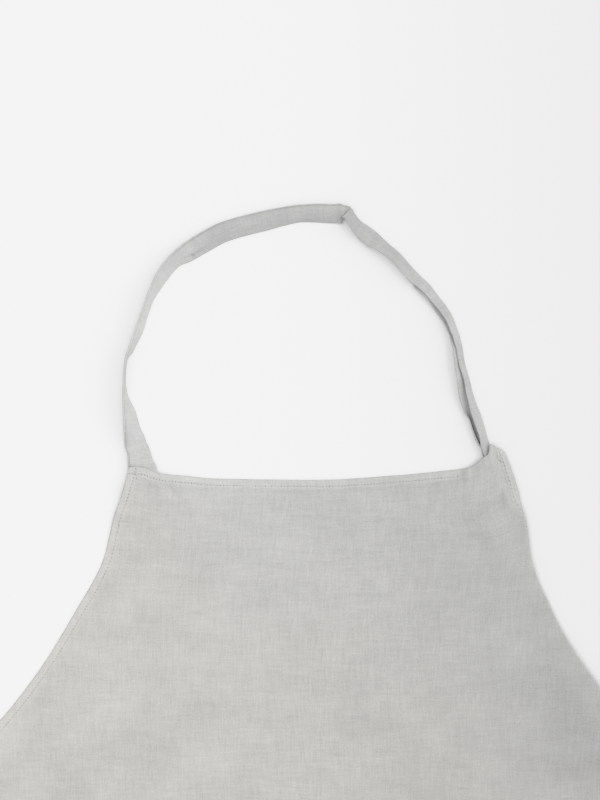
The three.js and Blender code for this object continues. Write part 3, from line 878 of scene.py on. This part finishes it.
@dataclass
class BodyPanel:
    """The bib and skirt: one piece of cloth with narrow hems turned under along every edge.

    A hem is a little lighter than the rest. It rounds off at its fold, sinks along its stitches and puckers.
    The right armhole's edge curls under: the curl comes between two distances down and goes between two
    others. Sizes are in millimetres and the curl's angle is in radians.
    """

    length: float = PANEL_LENGTH
    bib_rise: float = 270.0
    cloth: float = 0.6
    rise_fade: float = 95.0
    lift_fade: float = 70.0
    hill_base: float = 0.26
    hill_calm: float = 0.35
    calm_reach: float = 14.0
    hem_width: float = 7.0
    hem_lift: float = 0.75
    hem_ramp: tuple[float, float] = (-0.2, 2.2)
    hem_gain: float = 0.07
    hem_blend: float = 0.6
    hem_stop_rate: float = 4.0
    hem_corner: float = 9.0
    fold_drop: float = 0.35
    fold_reach: float = 0.9
    top_stitch: float = 5.2
    top_stitch_end: float = 107.0
    top_tight: tuple[float, float] = (-151.0, -118.0)
    side_stitch: float = 5.6
    side_tight: tuple[float, float] = (4.0, 26.0)
    stitch_drop: float = 0.22
    stitch_reach: float = 0.7
    pucker: float = 0.14
    pucker_size: float = 7.5
    pucker_reach: float = 9.0
    pucker_seed: int = 21
    pucker_shift: float = 900.0
    curl_length: float = 9.6
    curl_angle: float = 5.0
    curl_least: float = 0.001
    curl_reach: float = 110.0
    curl_start: tuple[float, float] = (26.0, 62.0)
    curl_end: tuple[float, float] = (190.0, 240.0)
    hem_columns: tuple[float, ...] = (0, 0.5, 1.1, 2.0, 3.2, 4.4, 5.1, 5.6, 6.1, 7.0, 8.2, 9.6, 11.5)
    inner_columns: int = 162
    bib_step: float = 1.95
    skirt_step: float = 6.6
    normal_run: float = 0.0004
    normal_step: float = 0.25
    track_points: int = 6000

    def downs(self) -> Array:
        """Rows of the grid: close together along the hems, finer on the bib than on the skirt.

        Returns:
            Distances down from the top edge.
        """
        hem = np.array(self.hem_columns)
        bib = np.arange(hem[-1] + self.bib_step, self.bib_rise, self.bib_step)
        skirt = np.arange(self.bib_rise, self.length - hem[-1] - self.skirt_step / 2, self.skirt_step)
        return np.concatenate((hem, bib, skirt, self.length - hem[::-1]))

    def half(self, down: Array) -> Array:
        """Half width of the flat cloth at a distance down from the top edge."""
        return OUTLINE.read("down", "half", down)

    def flare(self, down: Array) -> Array:
        """How much the half width grows for each millimetre down."""
        return self.half(down + 0.5) - self.half(down - 0.5)

    def stretch(self, down: Array) -> Array:
        """How much longer a step across is than the same step square to the side edge."""
        return np.hypot(1, self.flare(down))

    def inset(self, down: Array, share: Array) -> Array:
        """Distance from the nearer side edge, square to it, at a signed share of the half width."""
        return (1 - np.abs(share)) * self.half(down) / self.stretch(down)

    def edge_run(self, down: Array) -> Array:
        """Length along the side edge from the top corner, summed over steps of a millimetre."""
        steps = np.arange(0, self.length + 1.0)
        return np.interp(down, steps, run_along(np.stack((steps, self.half(steps)), -1)))

    def shares(self, down: Array) -> Array:
        """Columns of the grid as signed shares of the half width: fixed distances at the edges, then even.

        Args:
            down: distances down, one for each row.

        Returns:
            A share for each row and column.
        """
        half, stretch = self.half(down)[:, None], self.stretch(down)[:, None]
        rim = 1 - np.array(self.hem_columns)[None, :] * stretch / half
        inner = np.linspace(-1, 1, self.inner_columns + 2)[None, 1:-1] * rim[:, -1:]
        return np.concatenate((-rim, inner, rim[:, ::-1]), axis=1)

    def surface(self, down: Array, share: Array) -> Array:
        """Points of the cloth's upper face.

        In plan a point is its share of the half width, moved by the way the top edge lies, which dies out
        down the bib. Its height sums the cloth, the hem under it, the lifted corner, the sewn-in ends, the
        folds, the wrinkles, the rolled right armhole and fine random hills, which are lower near the edges.

        Args:
            down: distance down from the top edge.
            share: signed share of the half width.

        Returns:
            Drawing points, with x, y and z on the last axis.
        """
        flat_x = share * self.half(down) + OUTLINE.read("down", "lean", down)
        _, top_half, top_lean = OUTLINE.rows[0]
        across = share * top_half + top_lean
        moved = 1 - smooth(down, 0, self.rise_fade)
        x = flat_x + moved * TOP_EDGE.read("across", "pull", across)
        y = -down + moved * TOP_EDGE.read("across", "rise", across)

        edge = self.inset(down, share)
        lowest = self.cloth + FLOOR_GAP
        z = lowest + self.hem_relief(down, edge, share)
        z = z + (1 - smooth(down, 0, self.lift_fade)) * TOP_EDGE.read("across", "lift", across)
        z = z + self.sewn(flat_x, -down) + bumps(FOLDS, x, y) + bumps(WRINKLES, x, y)
        out, rise = self.curl(down, edge, share)
        x = x + out / self.stretch(down)
        y = y + out * self.flare(down) / self.stretch(down)
        inside = smooth(np.minimum(np.minimum(edge, down), self.length - down), 0, self.calm_reach)
        hills = sum(
            height * ripple(flat_x, squash * down, size, seed) for height, squash, size, seed in HILLS.rows
        )
        lively = self.hill_calm + (1 - self.hill_calm) * inside
        z = np.maximum(z + rise + (self.hill_base + hills) * lively, lowest)
        return np.stack(np.broadcast_arrays(x, y, z), -1)

    def hem_relief(self, down: Array, edge: Array, share: Array) -> Array:
        """Height that a turned hem gives: a level strip, rounded off at the fold and sunk at the stitches.

        Args:
            down: distance down from the top edge.
            edge: distance from the nearer side edge.
            share: signed share of the half width, which tells the sides apart for their puckers.

        Returns:
            The added height.
        """
        up = self.length - down
        nearest = np.minimum(np.minimum(edge, down), up)
        start, end = (self.hem_width + ramp for ramp in self.hem_ramp)
        height = self.hem_lift * (1 - smooth(nearest, start, end))
        height = height - self.fold_drop * np.clip(1 - nearest / self.fold_reach, 0, 1) ** 2
        for distance, stitch in ((edge, self.side_stitch), (down, self.top_stitch), (up, self.side_stitch)):
            height = height - self.stitch_drop * np.exp(-(((distance - stitch) / self.stitch_reach) ** 2))
        side_run = self.edge_run(down) + self.pucker_shift * (share > 0)
        run = np.where(edge < np.minimum(down, up), side_run, share * self.half(down))
        hills = ripple(run, nearest, self.pucker_size, self.pucker_seed)
        return height + self.pucker * hills * np.exp(-nearest / self.pucker_reach)

    def sewn(self, x: Array, y: Array) -> Array:
        """Height over the strap and tie ends sewn in under the cloth: level, with a soft ramp all round."""
        total = np.zeros(np.broadcast(x, y).shape)
        for left, right, bottom, top, ramp, height in SEWN_ENDS.rows:
            sideways = smooth(x, left - ramp, left) * (1 - smooth(x, right, right + ramp))
            lengthways = smooth(y, bottom - ramp, bottom) * (1 - smooth(y, top, top + ramp))
            total = total + height * sideways * lengthways
        return total

    def curl(self, down: Array, edge: Array, share: Array) -> tuple[Array, Array]:
        """The right armhole's curl: the cloth climbs to the edge, then turns over it and under.

        Past the start of the curl the cloth follows a circle: a length s goes out by r sin(s / r) and down by
        r (1 - cos(s / r)). The cloth is shifted so that the curl's outermost line stays on the outline.

        Args:
            down: distance down from the top edge.
            edge: distance from the nearer side edge.
            share: signed share of the half width.

        Returns:
            How far each point moves out, square to the edge, and up.
        """
        amount = smooth(down, *self.curl_start) * (1 - smooth(down, *self.curl_end))
        angle = np.maximum(self.curl_angle * amount, self.curl_least)
        radius = self.curl_length / angle
        length = np.maximum(self.curl_length - edge, 0)
        turn = length / radius
        out = radius * np.sin(turn) - length
        drop = radius * (1 - np.cos(turn))
        furthest = radius * np.sin(np.minimum(angle, math.pi / 2))
        height = radius * (1 - np.cos(np.minimum(angle, math.pi)))
        fade = 1 - smooth(edge, self.curl_length, self.curl_length + self.curl_reach)
        right = share > 0
        return right * (out + fade * (self.curl_length - furthest)), right * (fade * height - drop)

    def tone(self, points: Array, down: Array, edge: Array, across: Array) -> Array:
        """How light the cloth is: lighter over the layers of a hem, with soft patches of painted light and
        shade.

        Past the end of its stitches the top hem is rolled under the corner and doesn't show.

        Args:
            points: drawing points.
            down: distance down from the top edge.
            edge: distance from the nearer side edge.
            across: distance across the flat cloth from its centre line.

        Returns:
            A factor on the cloth's colour.
        """
        past = np.maximum(across - self.top_stitch_end, 0)
        nearest = np.minimum(edge, down + self.hem_stop_rate * past)
        over_hem = 1 - smooth(nearest, self.hem_width - self.hem_blend, self.hem_width + self.hem_blend)
        return 1 + self.hem_gain * over_hem + bumps(PAINTED_LIGHT_PATCHES, points[..., 0], points[..., 1])

    def flat_area(self) -> float:
        """Area of the cut cloth in square metres, by the trapezoid rule over its half width."""
        steps = np.arange(0, self.length + 1.0)
        return float(np.trapz(2 * self.half(steps), steps)) * MM**2

    def seams(self) -> tuple[Seam, ...]:
        """Rows of needle holes in painted shade along the hems, the corners' bars, and the tight rows at the
        corners.

        Returns:
            The rows.
        """
        return (
            Seam("cloth", "X", -self.top_stitch, end=self.top_stitch_end),
            Seam("cloth", "X", self.side_stitch - self.length),
            Seam("side", "X", self.side_stitch),
            *CORNER_BARS,
            Seam("cloth", "X", -self.top_stitch, *self.top_tight, least=1.0),
            Seam("side", "X", self.side_stitch, *self.side_tight, least=1.0),
        )

    def build(self, finish: LinenFinish) -> bpy.types.Object:
        """Builds the panel's mesh and dresses it.

        Args:
            finish: the linen.

        Returns:
            The panel.
        """
        rows = self.downs()
        shares = self.shares(rows)
        down = np.broadcast_to(rows[:, None], shares.shape)
        points = self.surface(down, shares)
        across = shares * self.half(down)
        edge = self.inset(down, shares)
        maps = {
            "cloth": np.stack((across, -down), -1) * MM,
            "side": np.stack((self.edge_run(down), edge), -1) * MM,
            "tone": tone_map(self.tone(points, down, edge, across)),
        }
        panel = make_mesh("apron_panel", points, grid_quads(*shares.shape), maps)
        wall = panel.modifiers.new("cloth_thickness", "SOLIDIFY")
        wall.thickness = self.cloth * MM
        wall.offset = -1.0
        panel.data.materials.append(finish.build())
        return panel

    def edge_points(self, edge: Edge, inside: Array, run: Array) -> Array:
        """Points of the upper face along an edge.

        Args:
            edge: which edge.
            inside: distance inside the edge.
            run: share of the edge, from 0 at its first end to 1 at its last.

        Returns:
            Drawing points in the broadcast shape of inside and run.
        """
        inside, run = np.broadcast_arrays(inside, run)
        if edge in (Edge.TOP, Edge.BOTTOM):
            down = inside if edge is Edge.TOP else self.length - inside
            return self.surface(down, 2 * run - 1)
        down = run * self.length
        share = 1 - inside * self.stretch(down) / self.half(down)
        return self.surface(down, share if edge is Edge.RIGHT else -share)

    def edge_frame(self, edge: Edge, inside: Array, run: Array) -> tuple[Array, Array]:
        """Points of the upper face along an edge, with their normals from small steps both ways.

        Args:
            edge: which edge.
            inside: distance inside the edge.
            run: share of the edge.

        Returns:
            Drawing points and unit normals that point out of the upper face.
        """
        ahead, behind = np.minimum(run + self.normal_run, 1), np.maximum(run - self.normal_run, 0)
        further, nearer = inside + self.normal_step, np.maximum(inside - self.normal_step, 0)
        along = self.edge_points(edge, inside, ahead) - self.edge_points(edge, inside, behind)
        inward = self.edge_points(edge, further, run) - self.edge_points(edge, nearer, run)
        normal = np.cross(along, inward)
        if edge in (Edge.TOP, Edge.RIGHT):
            normal = -normal
        return self.edge_points(edge, inside, run), normal / np.linalg.norm(normal, axis=-1, keepdims=True)

    def stitch_row(self, edge: Edge, pitch: float) -> tuple[Array, Array]:
        """Places of the stitches along one hem.

        Args:
            edge: which edge.
            pitch: stitch length in millimetres.

        Returns:
            Points half a pitch apart on the upper face, and the face's normals there.
        """
        inset = np.array(self.top_stitch if edge is Edge.TOP else self.side_stitch)
        fine = np.linspace(0, 1, self.track_points)
        track = self.edge_points(edge, inset, fine)
        run = run_along(track[:, :2])
        last = np.interp(self.top_stitch_end, track[:, 0], run) if edge is Edge.TOP else run[-1] - pitch
        at = np.arange(pitch, last, pitch / 2)
        return self.edge_frame(edge, inset, np.interp(at, run, fine))


@dataclass
class Hem:
    """A hem's turned layers: a flat strip under the panel along one stretch of its edge."""

    node: str
    edge: Edge
    start: float
    end: float
    width: float = 7.0
    inset: float = 0.3
    wall: float = 0.45
    gap: float = 0.1
    edge_round: int = 8
    steps: int = 120
    across: int = 9

    def build(self, panel: BodyPanel, finish: LinenFinish) -> bpy.types.Object:
        """Builds the strip: a lens-edged profile carried along the edge, just under the panel's lower face.

        Args:
            panel: the panel that the hem belongs to.
            finish: the linen.

        Returns:
            The hem.
        """
        run = np.linspace(self.start, self.end, self.steps)[:, None]
        t = np.linspace(0, 1, self.across)[None, :]
        face, normal = panel.edge_frame(self.edge, self.inset + (self.width - self.inset) * t, run)
        middle = face - normal * (panel.cloth + self.gap + self.wall / 2)
        ring = strip_ring(middle, normal, self.wall / 2 * (1 - (2 * t - 1) ** self.edge_round))
        quads = tube_quads(*ring.shape[:2])
        if self.edge in (Edge.TOP, Edge.RIGHT):
            quads = quads[:, ::-1]
        maps = {"cloth": ring[..., :2] * MM, "tone": tone_map(np.ones(ring.shape[:2]))}
        hem = make_mesh(f"{self.node}_turned", ring, quads, maps)
        hem.data.materials.append(finish.build())
        return hem


@dataclass
class Band:
    """A strap or tie: a linen strip folded on itself, laid along a table of points of its outer edge."""

    node: str
    table: Table
    # Tones along the band's length: on the neck strap they are painted light and shade.
    tones: Table
    creases: Table = NO_CREASES
    mirrored: bool = False
    wall: float = 1.5
    # crease_shade darkens the linen along the creases with painted shade.
    crease_shade: float = 0.3
    steps: int = 480
    across: int = 27
    wander: float = 3.0
    wander_size: float = 13.0
    wander_squash: float = 0.7
    wander_seed: int = 33
    flat_slopes: tuple[float, float] = (4.0, 20.0)
    hook_span: tuple[float, float] = (0.10, 0.26)
    heading_reach: float = 3.5
    edge_inset: float = 0.3
    edge_round: int = 14
    # The edge stitching's holes and groove darken the linen with painted shade.
    stitch_inset: float = 1.2
    stitch_groove: float = 0.8
    stitch_columns: int = 89
    cool: tuple[float, float, float] = (0.998, 0.996, 1.021)
    pit: float = 0.36 * MM
    pit_painted_shade: float = 0.55
    route: Array = field(init=False)

    def __post_init__(self) -> None:
        """Works out the distance along the outer edge at each row of the table."""
        self.route = run_along(np.stack((self.table.column("x"), self.table.column("y")), -1))

    def read(self, name: str, at: Array) -> Array:
        """Reads a column of the table at distances along the outer edge."""
        return hermite(self.route, self.table.column(name), at)

    def finish(self) -> LinenFinish:
        """The band's linen, with a tight row of needle holes along its outer edge where that shows, drawn as a
        groove of painted shade.
        """
        row = Seam("cloth", "Y", self.stitch_inset, end=self.open_run(), groove=self.stitch_groove)
        return LinenFinish(
            f"{self.node}_linen", seams=(row,), cool=self.cool, pit=self.pit, pit_painted_shade=self.pit_painted_shade
        )

    def sections(self, at: Array, across: Array) -> tuple[Array, Array]:
        """The band's middle surface.

        Across the band the slope starts with the outer part's, plus a hook close to the edge, and turns to
        the inner part's over a soft ridge. Its cosine and sine, summed along the width, give how far in and
        how high each point is. Each section is then set with its outer face on the route and its lowest point
        on the floor. A slope of 180 degrees is a part folded under, and a hook there stands its edge up.

        Args:
            at: distances along the outer edge, one for each section.
            across: shares of the width, from the outer edge to the inner one.

        Returns:
            The middle points and the upward normals.
        """
        columns = ("outer", "inner", "ridge", "soft", "hook", "width", "lift")
        outer, inner, ridge, soft, hook, width, lift = (self.read(name, at)[:, None] for name in columns)
        share = across[None, :]
        inside = share * width
        turn = smooth((share - ridge) / soft + 0.5, 0, 1)
        hills = ripple(at[:, None], self.wander_squash * inside, self.wander_size, self.wander_seed)
        wander = self.wander * hills * smooth(np.abs(outer), *self.flat_slopes)
        hooked = hook * (1 - smooth(share, *self.hook_span))
        slope = np.radians(outer + (inner - outer) * turn + hooked + wander)
        step = np.diff(across)[None, :] * width
        half_way = (slope[:, 1:] + slope[:, :-1]) / 2
        nothing = np.zeros((len(at), 1))
        inward = np.concatenate((nothing, np.cumsum(step * np.cos(half_way), axis=1)), axis=1)
        height = np.concatenate((nothing, np.cumsum(step * np.sin(half_way), axis=1)), axis=1)
        face = inward - self.half_wall(across) * np.abs(np.sin(slope))
        inward = inward - face.min(axis=1, keepdims=True) + self.edge_inset
        height = height - height.min(axis=1, keepdims=True) + lift + bumps(self.creases, at[:, None], inside)

        x, y = self.read("x", at), self.read("y", at)
        ahead, behind = at + self.heading_reach, at - self.heading_reach
        heading = np.stack([self.read(axis, ahead) - self.read(axis, behind) for axis in ("x", "y")], -1)
        heading = heading / np.linalg.norm(heading, axis=1, keepdims=True)
        side = np.stack((heading[:, 1], -heading[:, 0], 0 * x), -1)[:, None, :]
        base = np.stack((x, y, 0 * x), -1)[:, None, :]
        up = np.array([0.0, 0.0, 1.0])
        middle = base + side * inward[..., None] + up * (height[..., None] + self.wall / 2 + FLOOR_GAP)
        return middle, up * np.cos(slope)[..., None] - side * np.sin(slope)[..., None]

    def half_wall(self, across: Array) -> Array:
        """Half the wall at each share of the width: level, rounded to nothing at both edges."""
        return self.wall / 2 * np.sqrt(np.clip(1 - np.abs(2 * across - 1) ** self.edge_round, 0, 1))

    def mirror(self) -> Array:
        """Factors on x, y and z that turn a right-hand band into a left-hand one where it is mirrored."""
        return np.array([-1.0 if self.mirrored else 1.0, 1.0, 1.0])

    def build(self) -> bpy.types.Object:
        """Builds the band as a flat closed profile carried along its route, and dresses it.

        Its columns stand closer together at the edges: their shares are half of one minus a cosine.

        Returns:
            The band.
        """
        at = np.linspace(0, self.route[-1], self.steps)
        across = (1 - np.cos(np.linspace(0, math.pi, self.across))) / 2
        ring = strip_ring(*self.sections(at, across), self.half_wall(across))
        share = np.concatenate((across, across[-2:0:-1]))
        inside, run = np.broadcast_arrays(share[None, :] * self.read("width", at)[:, None], at[:, None])
        # The band's tone is painted light and shade: lighter or darker along its length, and darker in its
        # creases.
        tone = self.tones.read("run", "tone", run) + self.crease_shade * bumps(self.creases, run, inside)
        quads = tube_quads(*ring.shape[:2])
        if not self.mirrored:
            quads = quads[:, ::-1]
        maps = {"cloth": np.stack((inside, run), -1) * MM, "tone": tone_map(tone)}
        band = make_mesh(f"{self.node}_band", ring * self.mirror(), quads, maps)
        band.data.materials.append(self.finish().build())
        return band

    def stitch_row(self, pitch: float) -> tuple[Array, Array]:
        """Places of the edge stitching where it shows on the upper face, and the face's normals there.

        Args:
            pitch: stitch length in millimetres.

        Returns:
            Points half a pitch apart, and their normals.
        """
        at = np.arange(0, self.route[-1], pitch / 2)
        last = self.stitch_columns - 1
        middle, normal = self.sections(at, np.linspace(0, 1, self.stitch_columns))
        near = np.clip(np.round(self.stitch_inset / self.read("width", at) * last).astype(int), 1, last - 1)
        rows = np.arange(len(at))
        up = normal[rows, near]
        points = middle[rows, near] + up * self.wall / 2
        shown = up[:, 2] > 0
        return points[shown] * self.mirror(), up[shown] * self.mirror()

    def open_run(self) -> float:
        """Length along the outer edge to where the band first lies folded under, or to its end."""
        folded = self.table.column("outer") > 90
        return float(self.route[np.argmax(folded)] if folded.any() else self.route[-1])

    def flat_size(self) -> tuple[float, float]:
        """Usual width of the band and length of its centre line, in metres."""
        at = np.linspace(0, self.route[-1], self.steps)
        middle, _ = self.sections(at, np.linspace(0, 1, 5))
        length = np.linalg.norm(np.diff(middle[:, 2], axis=0), axis=1).sum()
        return float(np.median(self.table.column("width"))) * MM, float(length) * MM


@dataclass
class Stitching:
    """Rows of lockstitch: short lengths of thread that dive into the cloth at both ends, in one mesh."""

    name: str
    pitch: float = 2.5
    thread: float = 0.4
    share: float = 0.72
    taper: float = 0.92
    dive: float = 0.22
    proud: float = 0.06
    sides: int = 6
    rings: int = 5

    def build(self, rows: list[tuple[Array, Array]], finish: ThreadFinish) -> bpy.types.Object:
        """Builds every stitch of several rows from one small capsule.

        The capsule's radius follows the square root of one minus the distance from its middle squared, and it
        sinks by the square of that distance. Each stitch carries it along the line between two neighbours.

        Args:
            rows: for each row, points half a pitch apart and the cloth's normals there.
            finish: the thread.

        Returns:
            The joined stitches.
        """
        s = np.linspace(-1, 1, self.rings)[:, None]
        turn = np.linspace(0, 2 * math.pi, self.sides, endpoint=False)[None, :]
        radius = self.thread / 2 * np.sqrt(1 - self.taper * s**2)
        along = s * self.pitch * self.share / 2
        above = radius * np.sin(turn) - self.dive * self.thread * s**2
        capsule = np.stack(np.broadcast_arrays(along, radius * np.cos(turn), above), -1)
        vertices = np.concatenate([self.place(points, normals, capsule) for points, normals in rows])
        faces = tube_quads(self.rings, self.sides)[:, ::-1]
        firsts = self.rings * self.sides * np.arange(len(vertices))
        stitches = make_mesh(self.name, vertices, (faces[None] + firsts[:, None, None]).reshape(-1, 4))
        stitches.data.materials.append(finish.build())
        return stitches

    def place(self, points: Array, normals: Array, capsule: Array) -> Array:
        """Carries the capsule to each stitch of a row.

        Args:
            points: points half a pitch apart.
            normals: the cloth's normals there.
            capsule: the capsule's points along the thread, across it and off the cloth.

        Returns:
            Vertices by stitch, ring and side.
        """
        middle, up = points[1:-1:2], normals[1:-1:2]
        forward = points[2::2] - points[:-2:2]
        forward = forward / np.linalg.norm(forward, axis=1, keepdims=True)
        sideways = np.cross(up, forward)
        sideways = sideways / np.linalg.norm(sideways, axis=1, keepdims=True)
        up = np.cross(forward, sideways)
        axes = np.stack((forward, sideways, up), 1)
        return (middle + up * self.proud)[:, None, None, :] + np.einsum("rsk,nkc->nrsc", capsule, axes)


@dataclass
class Studio:
    """Floor, light and camera: a broad soft key low on the right, a gridded panel overhead and a white sky.

    The overhead panel hangs left of the middle and its grid lets its light die away towards the right.
    """

    frame_height: float = 0.625
    aim_x: float = -13.3
    aim_y: float = 60.9
    camera_height: float = 2.4
    camera_reach: float = 100.0
    sensor: float = 36.0
    floor_size: float = 60.0
    key_from: tuple[float, float, float] = (0.77, 0.24, 0.59)
    key_distance: float = 3.0
    key_strength: float = 1.03
    key_spread: float = 50.0
    fill_at: tuple[float, float, float] = (-0.18, -0.08, 0.7)
    fill_width: float = 0.5
    fill_length: float = 1.7
    fill_spread: float = 84.0
    fill_power: float = 1.31
    sky: float = 0.78

    def aim(self) -> Vector:
        """The floor point at the middle of the picture."""
        return Vector(to_frame(np.array([self.aim_x, self.aim_y, 0.0])))

    def build_floor(self, finish: FloorFinish) -> bpy.types.Object:
        """Lays the floor.

        Args:
            finish: the floor's paint.

        Returns:
            The floor.
        """
        side = np.linspace(-0.5, 0.5, 3) * self.floor_size / MM
        x, y = np.meshgrid(side, side, indexing="ij")
        floor = make_mesh("floor", np.stack((x, y, 0 * x), -1), grid_quads(3, 3))
        floor.data.materials.append(finish.build())
        return floor

    def build_light(self) -> None:
        """Adds the key as a wide sun, the fill as a soft panel up on the left, and an even white sky."""
        key = bpy.data.lights.new("key", "SUN")
        key.energy = self.key_strength
        key.angle = math.radians(self.key_spread)
        self.hang("key", key, Vector(self.key_from) * self.key_distance, Vector((0, 0, 0)))
        fill = bpy.data.lights.new("fill", "AREA")
        fill.energy = self.fill_power
        fill.shape = "RECTANGLE"
        fill.size = self.fill_width
        fill.size_y = self.fill_length
        fill.spread = math.radians(self.fill_spread)
        place = self.aim() + Vector(self.fill_at)
        self.hang("fill", fill, place, Vector((place.x, place.y, 0.0)))
        world = bpy.data.worlds.new("studio")
        world.use_nodes = True
        sky = world.node_tree.nodes["Background"]
        sky.inputs["Color"].default_value = (1.0, 1.0, 1.0, 1.0)
        sky.inputs["Strength"].default_value = self.sky
        bpy.context.scene.world = world

    def hang(self, name: str, lamp: bpy.types.Light, place: Vector, target: Vector) -> None:
        """Puts a lamp at a place and turns it to a target.

        Args:
            name: the lamp's name.
            lamp: its light.
            place: where it hangs.
            target: the point that it shines at.
        """
        holder = bpy.data.objects.new(name, lamp)
        holder.location = place
        holder.rotation_euler = (target - place).to_track_quat("-Z", "Y").to_euler()
        holder.visible_camera = False
        bpy.context.scene.collection.objects.link(holder)

    def build_camera(self) -> None:
        """Hangs the camera straight above the picture's middle, far enough for little perspective."""
        camera = bpy.data.cameras.new("camera")
        camera.sensor_width = self.sensor
        camera.lens = self.sensor * self.camera_height / self.frame_height
        camera.clip_end = self.camera_reach
        holder = bpy.data.objects.new("camera", camera)
        holder.location = self.aim() + Vector((0, 0, self.camera_height))
        bpy.context.scene.collection.objects.link(holder)
        bpy.context.scene.camera = holder
        bpy.context.scene.view_settings.view_transform = "Khronos PBR Neutral"


def panel_hems(panel: BodyPanel) -> list[Hem]:
    """The strips of turned hem, each kept clear of its neighbours.

    Args:
        panel: the panel that they belong to.

    Returns:
        One hem along the top, one along the bottom, and an armhole's and a side's on each side.
    """
    # Shares of an edge that the strips leave free at its ends, and on either side of the waist.
    top_end, bottom_end, joint = 0.004, 0.002, 0.001
    corner = panel.hem_corner / panel.length
    waist = panel.bib_rise / panel.length
    hems = [
        Hem("top_hem", Edge.TOP, top_end, 1 - top_end),
        Hem("bottom_hem", Edge.BOTTOM, bottom_end, 1 - bottom_end),
    ]
    for edge in (Edge.LEFT, Edge.RIGHT):
        hems.append(Hem(f"{edge.value}_armhole_hem", edge, corner, waist - joint))
        hems.append(Hem(f"{edge.value}_side_hem", edge, waist + joint, 1 - corner))
    return hems


def settle(piece: bpy.types.Object, slot: str, *nodes: str) -> bpy.types.Object:
    """Makes a piece ride on the apron, hides the CAD nodes it stands for, and reports its faces.

    Args:
        piece: the finished piece.
        slot: the record's material slot; not used.
        nodes: the CAD nodes that it stands for.

    Returns:
        The piece.
    """
    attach(piece, "root")
    if nodes:
        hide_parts(*nodes)
    LOG.info("%s: %d faces", piece.name, len(piece.data.polygons))
    return piece


def main() -> None:
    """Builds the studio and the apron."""
    logging.basicConfig(level=logging.INFO, format="%(name)s %(message)s")
    studio = Studio()
    studio.build_camera()
    studio.build_floor(FloorFinish())
    studio.build_light()

    panel = BodyPanel()
    cloth = settle(panel.build(LinenFinish("washed_linen", seams=panel.seams())), "linen", "body_panel")
    plain = LinenFinish("washed_linen_hem")
    hems = [settle(hem.build(panel, plain), "linen", hem.node) for hem in panel_hems(panel)]
    thread = ThreadFinish()
    stitching = Stitching("hem_stitching")
    rows = [panel.stitch_row(edge, stitching.pitch) for edge in Edge]
    hem_thread = settle(stitching.build(rows, thread), "linen")
    panel.flat_area()

    for band in (
        Band("neck_strap", NECK_STRAP, STRAP_PAINTED_LIGHT, STRAP_CREASES),
        Band("right_waist_tie", WAIST_TIE, TIE_TONE, steps=220),
        Band("left_waist_tie", WAIST_TIE, TIE_TONE, mirrored=True, steps=220),
    ):
        strip = settle(band.build(), "linen_band", band.node)
        edging = Stitching(f"{band.node}_stitching")
        edge_thread = settle(edging.build([band.stitch_row(edging.pitch)], thread), "linen_band")
        band.flat_size()


if __name__ == "__main__":
    main()
